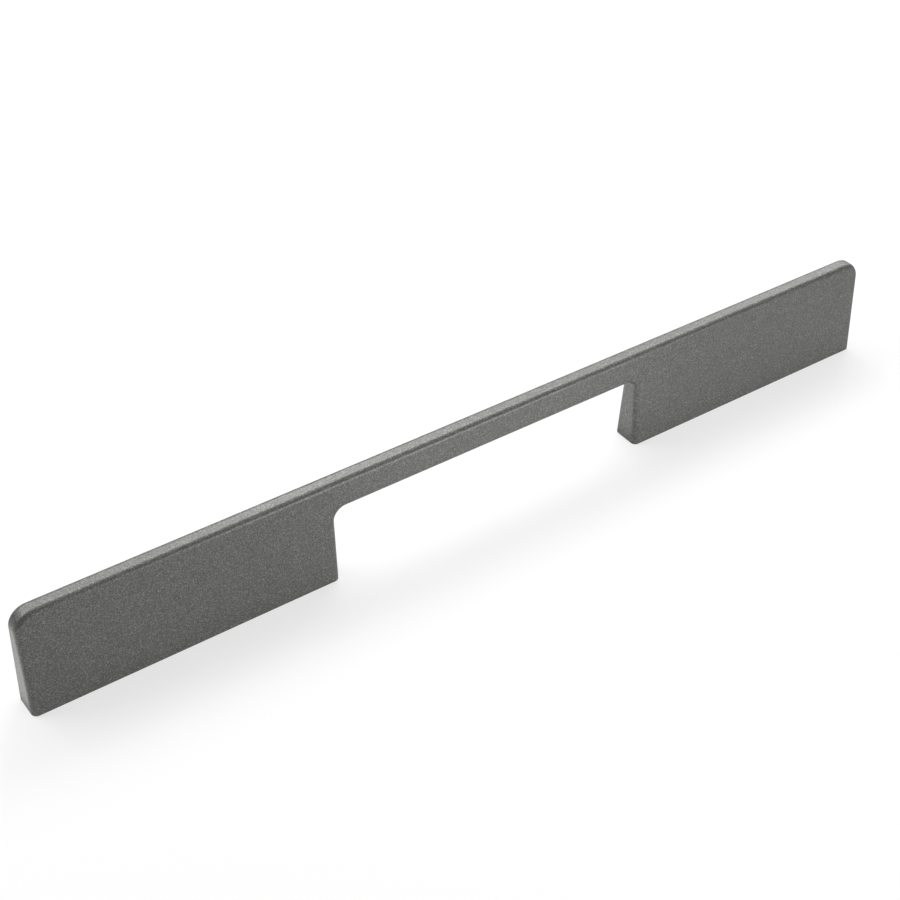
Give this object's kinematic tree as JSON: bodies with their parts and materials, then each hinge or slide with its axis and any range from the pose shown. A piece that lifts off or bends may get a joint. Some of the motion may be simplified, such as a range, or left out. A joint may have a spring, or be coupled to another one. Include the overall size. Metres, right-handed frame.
{
  "type": "cabinet handle",
  "caption": "Low wedge-section cabinet pull: long feet at its ends joined by a slim outer bar over a finger gap, with soft edges and blind screw holes in the feet.",
  "frame": {"origin": "on the door face, midway between the screw holes", "axes": "+X along the handle, +Y through its thickness, +Z out of the door towards the bar"},
  "size_m": [0.2344, 0.0076, 0.0265],
  "materials": {
    "graphite_paint": "graphite metallic paint with a fine speckle and a low satin sheen, on a zinc alloy casting"
  },
  "bodies": {
    "root": {"handle": "graphite_paint"}
  },
  "joints": []
}
